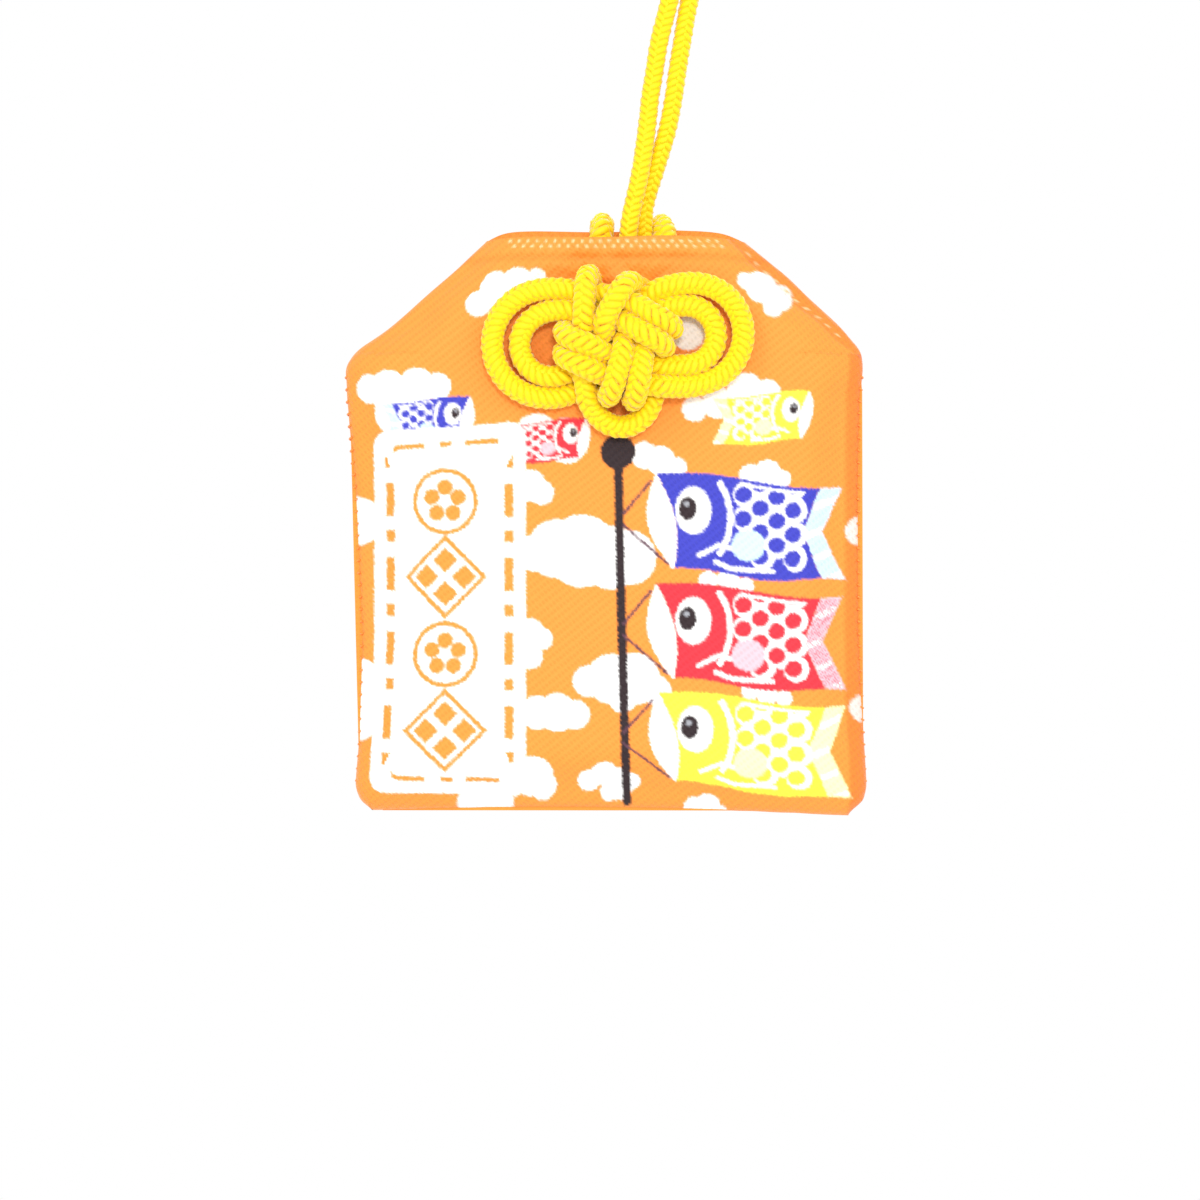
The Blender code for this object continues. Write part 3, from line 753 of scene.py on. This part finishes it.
def carp(canvas, x, z, origin, scale, facing, body, pale):
    """A carp streamer. Its own coordinates run u from the mouth to the tail and v up."""
    u = (x - origin[0]) / scale * facing
    v = (z - origin[1]) / scale
    top = -0.075 * u + 0.3 * np.sin(2 * math.pi * u / 17.0)
    bottom = -8.5 - 0.075 * u + 0.3 * np.sin(2 * math.pi * u / 13.0)
    share = np.clip((top - v) / 8.6, 0.0, 1.0)
    bulge = np.sin(math.pi * share)
    chevron = 1.0 - np.abs(2.0 * share - 0.9)
    mouth_edge = 1.6 * share + 0.9 * bulge
    lip_edge = 1.5 * share - 1.5 * bulge
    tail_start = 15.2 - 2.0 * chevron
    tail_end = 17.3 - 2.1 * chevron
    inside = np.maximum(v - top, bottom - v)
    shapes = (
        (np.maximum.reduce([inside, u - tail_end, tail_start - u]), pale),
        (np.maximum.reduce([inside, u - tail_start, mouth_edge - u]), body),
        (np.maximum.reduce([inside, u - mouth_edge, lip_edge - u]), WHITE),
        (oval(u, v, (3.3, -3.3), (1.6, 2.1)), WHITE),
        (oval(u, v, (2.8, -3.1), (0.8, 1.05)), BLACK),
        (disc(u, v, (2.7, -2.7), 0.25), GREY),
    )
    for distance, colour in shapes:
        lay(canvas, distance * scale, colour)
    lines = [
        arc_line(u, v, (1.0, -4.0), 5.6, 0.5, 0, 36),
        stroke(u, v, (3.8, -7.3), (5.6, -6.4), 0.4),
        stroke(u, v, (5.6, -6.4), (7.4, -6.9), 0.4),
        stroke(u, v, (5.3, -7.9), (6.8, -8.5), 0.4),
        stroke(u, v, (6.8, -8.5), (10.4, -8.7), 0.4),
    ]
    shown = np.maximum(np.maximum(inside + 0.3, u - tail_start), 2.0 - u)
    lay(canvas, np.maximum(np.minimum.reduce(lines), shown) * scale, WHITE)
    places = []
    for column in range(4):
        for row in range(3 + (column % 2)):
            places.append((8.0 + 1.5 * column, -1.9 - 2.15 * row + 1.05 * (column % 2) - 0.1 * column))
    net = np.minimum.reduce([disc(u, v, place, 1.15) for place in places])
    lay(canvas, np.maximum(net, inside + 0.35) * scale, WHITE)
    holes = np.minimum.reduce([oval(u, v, (place[0] - 0.25, place[1]), (0.8, 0.74)) for place in places])
    lay(canvas, np.maximum(holes, inside + 0.6) * scale, body)
    lay(canvas, oval(u, v, (8.2, -6.4), (1.5, 1.4)) * scale, pale)
    bars = np.abs((v - 0.35 * u) % 2.3 - 1.15) - 0.25
    tail_only = np.maximum.reduce([inside + 0.2, u - tail_end + 0.15, tail_start - u + 0.15])
    lay(canvas, np.maximum(bars, tail_only) * scale, WHITE)
    if pale == PINK:
        hatch = np.abs((v * 0.9 - u) % 0.42 - 0.21) - 0.06
        lay(canvas, np.maximum(hatch, tail_only) * scale, ROSE)


def label_distance(x, z, inset=0.0):
    """The white label with rounded corners, slightly taller towards the right."""
    half_tall = 16.0 + 0.07 * (x + 21.0) - inset
    far_x = np.abs(x + 14.0) - (7.0 - inset) + 1.3
    far_z = np.abs(z + 34.1) - half_tall + 1.3
    outside = np.hypot(np.maximum(far_x, 0.0), np.maximum(far_z, 0.0))
    return outside + np.minimum(np.maximum(far_x, far_z), 0.0) - 1.3


def label_border(x, z):
    """Dashed line inside the label: long and short dashes in turn, thicker down the sides."""
    edge = label_distance(x, z, inset=1.5)
    upright = np.abs(x + 14.0) / 7.0 > np.abs(z + 34.1) / 17.0
    along = np.where(upright, z, x)
    place = (along + 52.0) % 6.6
    dash = np.minimum(np.abs(place - 1.5) - 1.5, np.abs(place - 4.9) - 0.55)
    line = np.abs(edge) - np.where(upright, 0.42, 0.24)
    return np.maximum(line, dash)


def ornament(x, z, middle, kind):
    """A plain ornament: a five-petalled blossom in a ring, or a lozenge of four small ones."""
    if kind == "blossom":
        petals = []
        for k in range(5):
            turn = math.radians(90 + 72 * k)
            petals.append(disc(
                x, z, (middle[0] + 1.25 * math.cos(turn), middle[1] + 1.25 * math.sin(turn)), 0.72
            ))
        ring = np.abs(disc(x, z, middle, 2.75)) - 0.22
        core = disc(x, z, middle, 0.42)
        return np.minimum(np.maximum(np.minimum.reduce(petals), -core), ring)
    marks = []
    for across, up in ((0, 1.5), (0, -1.5), (1.7, 0), (-1.7, 0)):
        marks.append(np.abs(x - middle[0] - across) + np.abs(z - middle[1] - up) - 1.15)
    frame_line = np.abs(np.abs(x - middle[0]) + np.abs(z - middle[1]) - 3.5) - 0.3
    return np.minimum(np.minimum.reduce(marks) * 0.7, frame_line * 0.7)


def shoulder_slope(x, z):
    """How far a place lies beyond the right shoulder's slanting edge, negative on the cloth."""
    return (x - 12.4) - (-z - 1.0) * 1.13


def front_picture(x, z):
    """Colour of the front cloth at flat places x, z, both in millimetres."""
    canvas = np.tile(np.array(ORANGE), (len(x), 1))
    for lobes in CLOUDS:
        lay(canvas, cloud_distance(x, z, lobes), WHITE)
    for start, end, width in POLE_STROKES:
        lay(canvas, stroke(x, z, start, end, width), BLACK)
    lay(canvas, disc(x, z, (1.2, -19.8), 1.55), BLACK)
    for big_carp in BIG_CARPS:
        carp(canvas, x, z, *big_carp)
        origin = big_carp[0]
        for low, end in STRINGS:
            start = (POLE_X + 0.2, origin[1] + low)
            lay(canvas, stroke(x, z, start, (origin[0] + end[0], origin[1] + end[1]), 0.24), STRING)
    for small_carp in SMALL_CARPS:
        carp(canvas, x, z, *small_carp)
    for row in range(2):
        dots = np.hypot((x + 0.4 * row) % 0.8 - 0.4, z + 1.05 + 0.5 * row) - 0.13
        lay(canvas, np.maximum(dots, np.abs(x - 1.0) - 9.5), PALE_ORANGE)
    dots = np.hypot(shoulder_slope(x, z) + 0.7, z % 0.8 - 0.4) - 0.16
    lay(canvas, np.maximum(dots, np.abs(z + 5.5) - 4.0), PALE_ORANGE)
    lay(canvas, label_distance(x, z), WHITE)
    lay(canvas, label_border(x, z), ORANGE)
    for number, height in enumerate(ORNAMENT_HEIGHTS):
        kind = "blossom" if number % 2 == 0 else "lozenge"
        lay(canvas, ornament(x, z, (-14.2, height), kind), ORANGE)
    return canvas


def back_picture(x, z):
    """The back cloth: drifting clouds in staggered rows on the orange ground."""
    canvas = np.tile(np.array(ORANGE), (len(x), 1))
    draw = np.random.default_rng(SEED)
    for row in range(7):
        for column in range(4):
            middle_x = -18.0 + 12.0 * column + 6.0 * (row % 2) + draw.uniform(-1.0, 1.0)
            middle_z = -8.0 - 7.0 * row + draw.uniform(-1.0, 1.0)
            lobes = []
            for k in range(4):
                lift = draw.uniform(-0.6, 0.6)
                lobes.append((middle_x + 1.7 * (k - 1.5), middle_z + lift, draw.uniform(1.0, 1.7)))
            lay(canvas, cloud_distance(x, z, lobes), WHITE)
    return canvas


# ---- cloth


def side_at(side, z):
    heights = [row[0] for row in reversed(side)]
    places = [row[1] for row in reversed(side)]
    softened = [np.interp(z + shift, heights, places) for shift in (-0.5, -0.25, 0.0, 0.25, 0.5)]
    return sum(softened) / len(softened)


def bottom_at(over):
    """Height of the bottom edge at a share of the way across."""
    return CLOTH_BOTTOM - 0.45 * over + 0.35 * np.sin(math.pi * over)


def flat_grid(columns, rows, top):
    """Flat places of the cloth, row by row from the mouth down: x, z and the share down."""
    down = np.linspace(0.0, 1.0, rows)[:, None]
    over = np.linspace(0.0, 1.0, columns)[None, :]
    low = bottom_at(over)
    rise = 0.35 * np.sin(math.pi * over) + 0.12 * np.sin(9.0 * over + 0.7) - 0.15
    drop = FRONT_CORNER_DROP if top == FRONT_TOP else BACK_CORNER_DROP
    high = top + rise - drop * (np.exp(-over / 0.03) + np.exp(-(1.0 - over) / 0.03))
    z = high + (low - high) * down
    left, right = side_at(LEFT_SIDE, z), side_at(RIGHT_SIDE, z)
    return left + (right - left) * over, z


def edge_distance(x, z):
    """Rough distance from the cloth's sewn edges, where front and back meet."""
    slant = np.where(z > -11.0, 0.66, 1.0)
    left, right = side_at(LEFT_SIDE, z), side_at(RIGHT_SIDE, z)
    over = np.clip((x - left) / (right - left), 0.0, 1.0)
    aside = np.minimum(x - left, right - x) * slant
    return np.clip(np.minimum(aside, z - bottom_at(over)), 0.0, None)


def half_thickness(x, z):
    share = np.clip(edge_distance(x, z) / PUFF_REACH, 0.0, 1.0)
    rise = np.sqrt(np.clip(1.0 - (1.0 - share) ** 2.4, 0.0, 1.0))
    towards_mouth = np.clip((z + 8.0) / 7.4, 0.0, 1.0)
    crown = CROWN_HALF + (MOUTH_HALF - CROWN_HALF) * towards_mouth
    return RIM_HALF + (crown - RIM_HALF) * rise


def swelling():
    """How a simulated cloth bag, blown up and held at its mouth, moves from its rest shape.

    Returns a grid of (x, y, z) moves in millimetres for the front and one for the back.
    """
    x, z = flat_grid(COARSE_COLUMNS, COARSE_ROWS, FRONT_TOP)
    y = half_thickness(x, z)
    still = np.zeros((2, COARSE_ROWS, COARSE_COLUMNS, 3))
    points = np.concatenate([np.stack([x, side * y, z], -1).reshape(-1, 3) for side in (-1, 1)])
    half = COARSE_ROWS * COARSE_COLUMNS
    faces = []
    for side in (0, 1):
        for r in range(COARSE_ROWS - 1):
            for c in range(COARSE_COLUMNS - 1):
                a = side * half + r * COARSE_COLUMNS + c
                face = (a, a + COARSE_COLUMNS, a + COARSE_COLUMNS + 1, a + 1)
                faces.append(face if side == 0 else face[::-1])
    border = [r * COARSE_COLUMNS for r in range(COARSE_ROWS)]
    border += [(COARSE_ROWS - 1) * COARSE_COLUMNS + c for c in range(1, COARSE_COLUMNS)]
    border += [r * COARSE_COLUMNS + COARSE_COLUMNS - 1 for r in range(COARSE_ROWS - 2, -1, -1)]
    for a, b in zip(border, border[1:]):
        faces.append((a, half + a, half + b, b))
    mesh = bpy.data.meshes.new("bag")
    mesh.from_pydata((points * BAG_SCALE).tolist(), [], faces)
    bag = bpy.data.objects.new("bag", mesh)
    bpy.context.scene.collection.objects.link(bag)
    held = bag.vertex_groups.new(name="held")
    mouth = [side * half + c for side in (0, 1) for c in range(COARSE_COLUMNS)]
    held.add(mouth + border + [half + i for i in border], 1.0, "REPLACE")
    cloth = bag.modifiers.new("cloth", "CLOTH")
    cloth.settings.quality = 8
    cloth.settings.mass = 0.2
    cloth.settings.tension_stiffness = 8.0
    cloth.settings.compression_stiffness = 8.0
    cloth.settings.bending_stiffness = 0.3
    cloth.settings.vertex_group_mass = "held"
    cloth.settings.use_pressure = True
    cloth.settings.uniform_pressure_force = BAG_PRESSURE
    cloth.settings.shrink_min = -0.02
    cloth.settings.effector_weights.gravity = 0.0
    scene = bpy.context.scene
    for number in range(1, BAG_FRAMES + 1):
        scene.frame_set(number)
    evaluated = bag.evaluated_get(bpy.context.evaluated_depsgraph_get())
    after = np.empty(len(points) * 3)
    evaluated.data.vertices.foreach_get("co", after)
    moves = (after.reshape(-1, 3) / BAG_SCALE - points).reshape(still.shape)
    bpy.data.objects.remove(bag)
    scene.frame_set(1)
    size = np.linalg.norm(moves, axis=-1, keepdims=True)
    return moves * np.minimum(1.0, BAG_CAP / np.maximum(size, 1e-9))


def finer(grid, rows, columns):
    """A coarse grid of values read smoothly at more rows and columns."""
    def stretch(values, count):
        old = np.linspace(0.0, 1.0, len(values))
        new = np.linspace(0.0, 1.0, count)
        flat = values.reshape(len(values), -1)
        read = np.stack([np.interp(new, old, flat[:, k]) for k in range(flat.shape[1])], 1)
        smooth = read.copy()
        width = max(1, count // len(values) // 2)
        for _ in range(2):
            padded = np.pad(smooth, ((width, width), (0, 0)), mode="edge")
            smooth = sum(padded[k:k + count] for k in range(2 * width + 1)) / (2 * width + 1)
        return smooth.reshape(count, *values.shape[1:])
    tall = stretch(grid, rows)
    return stretch(tall.transpose(1, 0, 2), columns).transpose(1, 0, 2)


def relief(x, z, holes, front):
    """Height of the cloth's own folds and puckers, outward in millimetres."""
    height = np.zeros_like(x)
    for hole in holes:
        away = np.hypot(x - hole[0], z - hole[1])
        turned = np.arctan2(z - hole[1], x - hole[0])
        height -= 0.9 * np.exp(-(away / 1.5) ** 2)
        height += 0.13 * np.cos(7 * turned) * np.exp(-((away - 3.0) / 2.2) ** 2)
    height += 0.12 * np.exp(-((z + 1.2) / 0.7) ** 2) - 0.22 * np.exp(-((z + 2.6) / 0.35) ** 2)
    height += 0.10 * np.sin(x * 0.9 + 0.6 * np.sin(z)) * np.exp(-((z + 3.5) / 2.5) ** 2)
    height += 0.07 * np.sin(x * 0.31 + z * 0.17) * np.sin(z * 0.23 - x * 0.11 + 1.0)
    if front:
        slope = shoulder_slope(x, z)
        height -= 0.35 * np.clip((slope + SHOULDER_FOLD) / 0.4, 0.0, 1.0) * (z > -11.5)
        ribbed = np.clip((x - 21.6) / 0.3, 0.0, 1.0) * (z < -11.0)
        height += 0.06 * np.sin(z * 2 * math.pi / 0.8) * ribbed
    return height


def painted_fold_shade(x, z, front):
    """Painted shade: colour shares that darken the hem crease, the turned right shoulder and the right side
    edge to a deeper orange, where the cloth folds away from the light.
    """
    shade = np.ones_like(x)
    # painted shade along the hem crease; on the front, painted shade on the turned shoulder and the right
    # side edge
    shade -= 0.10 * np.exp(-((z + 2.6) / 0.3) ** 2)
    if front:
        slope = shoulder_slope(x, z)
        shade -= 0.20 * np.clip((slope + SHOULDER_FOLD) / 0.3, 0.0, 1.0) * (z > -11.5)
        shade -= 0.26 * np.clip((x - 21.7) / 0.4, 0.0, 1.0) * (z < -11.0)
    return np.clip(shade, 0.6, 1.0)


def cloth_paint(name, turn):
    made = new_material(name, ORANGE, 0.6, sheen=0.2)
    colours = add_node(made, "ShaderNodeVertexColor", layer_name="picture")
    return woven(made, colours.outputs["Color"], WEAVE_PITCH, turn, 0.6, 0.32)


def make_cloth(side, moves, paint):
    """One printed side of the pouch: an open sheet whose mouth is folded inward."""
    front = side < 0
    name = "front_cloth" if front else "back_cloth"
    top = FRONT_TOP if front else BACK_TOP
    x, z = flat_grid(COLUMNS, ROWS, top)
    holes = FRONT_HOLES if front else BACK_HOLES
    fine = finer(moves, ROWS, COLUMNS)
    inner = np.clip(edge_distance(x, z) / 2.0, 0.0, 1.0)
    y = half_thickness(x, z) + relief(x, z, holes, front) * inner
    places = np.stack([x, side * y, z], -1) + fine
    places[..., 1] = side * np.clip(side * places[..., 1], RIM_HALF * 0.6, CROWN_HALF + 0.55)
    fold = np.minimum(HEM_FOLD, np.abs(places[0, :, 1]) * 0.6)
    mouth = places[0] - side * fold[:, None] * (0.0, 1.0, 0.0)
    tuck = mouth - (0.0, 0.0, HEM_TUCK)
    points = np.concatenate([[tuck], [mouth], places]).reshape(-1, 3)
    faces = []
    for r in range(ROWS + 1):
        for c in range(COLUMNS - 1):
            a = r * COLUMNS + c
            face = (a, a + COLUMNS, a + COLUMNS + 1, a + 1)
            faces.append(face if front else face[::-1])
    piece = mesh_piece(name, points, faces, paint)
    jitter = np.random.default_rng(SEED).uniform(-0.06, 0.06, (2, x.size))
    picture = front_picture if front else back_picture
    colours = picture(x.ravel() + jitter[0], z.ravel() + jitter[1])
    # Painted shade on the hem crease and turned edges, with red kept more than blue so the shade is a deeper
    # orange.
    colours *= painted_fold_shade(x, z, front).ravel()[:, None] ** np.array((0.35, 1.0, 1.3))
    colours = np.concatenate([np.tile(np.array(DEEP_ORANGE), (2 * COLUMNS, 1)), colours])
    layer = piece.data.color_attributes.new("picture", "FLOAT_COLOR", "POINT")
    layer.data.foreach_set("color", np.column_stack([colours, np.ones(len(colours))]).ravel())
    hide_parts("front_panel" if front else "back_panel")
    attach(piece, "pouch")
    return piece


def surface_point(x, z, side, lift=0.0):
    y = half_thickness(np.array([x]), np.array([z]))[0] + lift
    return (x, side * y, z)


def make_stitches(name, marks, paint, node):
    """Short stitches, each a small arched thread; marks are (start, end, bulge) points."""
    points, faces = [], []
    sides = 6
    for start, end, bulge in marks:
        share = np.linspace(0.0, 1.0, 7)[:, None]
        route = np.array(start) + np.subtract(end, start) * share + np.sin(math.pi * share) * np.array(bulge)
        _, across, up = carried_frames(route)
        first = len(points)
        for i in range(len(route)):
            for k in range(sides):
                turn = 2 * math.pi * k / sides
                outward = math.cos(turn) * across[i] + math.sin(turn) * up[i]
                points.append(route[i] + STITCH_RADIUS * outward)
        faces += tube_faces(len(route), sides, first)
    piece = mesh_piece(name, np.array(points), faces, paint)
    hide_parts(node)
    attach(piece, "pouch")


def make_seams(paint):
    """Slanting seam stitches down both sides and running stitches along the hems."""
    for name, side, inward in (("left", LEFT_SIDE, 1), ("right", RIGHT_SIDE, -1)):
        marks = []
        for z in np.arange(*SEAM_SPAN, -SEAM_PITCH):
            x = float(side_at(side, np.array(z))) + inward * 0.24
            marks.append(((x, -SEAM_REACH, z), (x, SEAM_REACH, z - 0.3), (-inward * 0.26, 0.0, 0.0)))
        make_stitches(f"{name}_seam_stitches", marks, paint, f"{name}_seam_thread")
    for name, side, low, high in (("front", -1, -8.0, 10.4), ("back", 1, 6.9, 10.5)):
        marks = []
        for x in np.arange(low, high, HEM_PITCH):
            start, end = (surface_point(x + along, HEM_LINE, side, -0.12) for along in (0.0, HEM_STITCH))
            marks.append((start, end, (0.0, side * 0.16, 0.0)))
        make_stitches(f"{name}_hem_stitches", marks, paint, f"{name}_hem_thread")


def repaint_frame():
    """Gives each CAD node that stays its own finished material."""
    plain = woven(new_material("plain_cloth", DEEP_ORANGE, 0.75, 0.2), DEEP_ORANGE, 0.3, 0, 0.4, 0.25)
    lining = woven(new_material("lining_cloth", CREAM, 0.8, 0.1), CREAM, 0.22, 45, 0.3, 0.15)
    board = grain(new_material("board_card", srgb(216, 205, 180), 0.85), 1400.0, 0.3, 0.35)
    paper = grain(new_material("wrapper_paper", srgb(246, 243, 234), 0.7), 2200.0, 0.25, 0.15)
    wood = grain(new_material("slip_wood", srgb(222, 190, 140), 0.55), 500.0, 0.3, 0.5, (1.0, 1.0, 0.08))
    paints = {"plain_cloth": plain, "lining": lining, "board": board, "paper": paper, "slip": wood}
    for part in frame["record"]["subparts"]:
        paint = paints.get(part["material_slot"])
        obj = bpy.data.objects.get(part["node"])
        if paint and obj:
            for place in obj.material_slots:
                place.material = paint


def main():
    make_camera()
    make_studio()
    braid = cord_paint()
    make_hanging_cord(braid)
    make_knot(braid)
    moves = swelling()
    front = make_cloth(-1, moves[0], cloth_paint("front_weave", WEAVE_TURN))
    back = make_cloth(1, moves[1], cloth_paint("back_weave", -WEAVE_TURN))
    stitches = grain(new_material("seam_thread", DEEP_ORANGE, 0.6, 0.3), 5000.0, 0.4, 0.3)
    make_seams(stitches)
    repaint_frame()


main()
